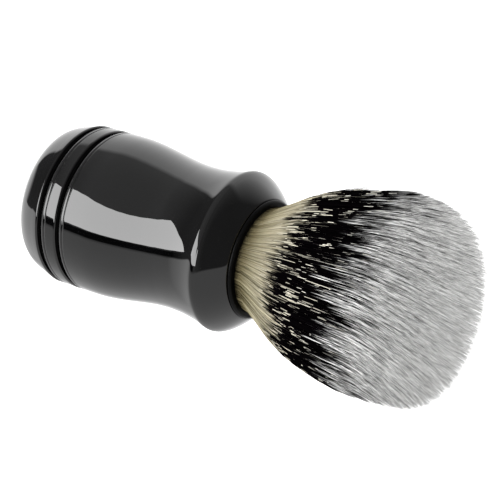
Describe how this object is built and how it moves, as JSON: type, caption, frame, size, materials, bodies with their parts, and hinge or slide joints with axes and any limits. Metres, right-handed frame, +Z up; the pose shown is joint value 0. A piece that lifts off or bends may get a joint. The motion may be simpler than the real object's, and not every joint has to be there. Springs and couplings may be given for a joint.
{
  "type": "shaving brush",
  "caption": "Upright shaving brush: waisted gloss-black grooved handle with a black ferrule and a domed knot of fibres, cream at the root, dark in the middle, pale at the tips.",
  "frame": {"origin": "centre of the foot pad's underside, on the surface that the brush stands on", "axes": "+Z up along the brush's axis, from the foot to the tips of the bristles; +Y is the plane in which the bristles bend"},
  "size_m": [0.0434, 0.0434, 0.1],
  "materials": {
    "resin": "gloss",
    "gasket": "matte",
    "ferrule": "satin",
    "steel": "satin",
    "pad": "matte",
    "epoxy": "satin",
    "thread": "matte",
    "fibre_cream": "satin",
    "fibre_grey": "satin"
  },
  "bodies": {
    "handle": {"base_cap": "resin", "lower_groove_gasket": "gasket", "trim_ring": "resin", "upper_groove_gasket": "gasket", "handle_body": "resin", "ballast_slug": "steel", "stack_screw": "steel", "screw_washer": "steel", "foot_pad": "pad", "knot_ferrule": "ferrule", "socket_adhesive": "epoxy", "root_plug": "epoxy", "binding_thread": "thread", "fibre_roots": "fibre_cream", "bristle_neck": "fibre_cream"},
    "bristle_head": {"bristle_crown": "fibre_grey"}
  },
  "joints": [
    {"name": "bristle_bend", "type": "hinge", "parent": "handle", "child": "bristle_head", "pos_m": [0, 0, 0.056], "axis": [1, 0, 0], "range_deg": [-30, 30], "stiffness_Nm_per_rad": 0.15, "deforming": ["bristle_neck"]}
  ]
}
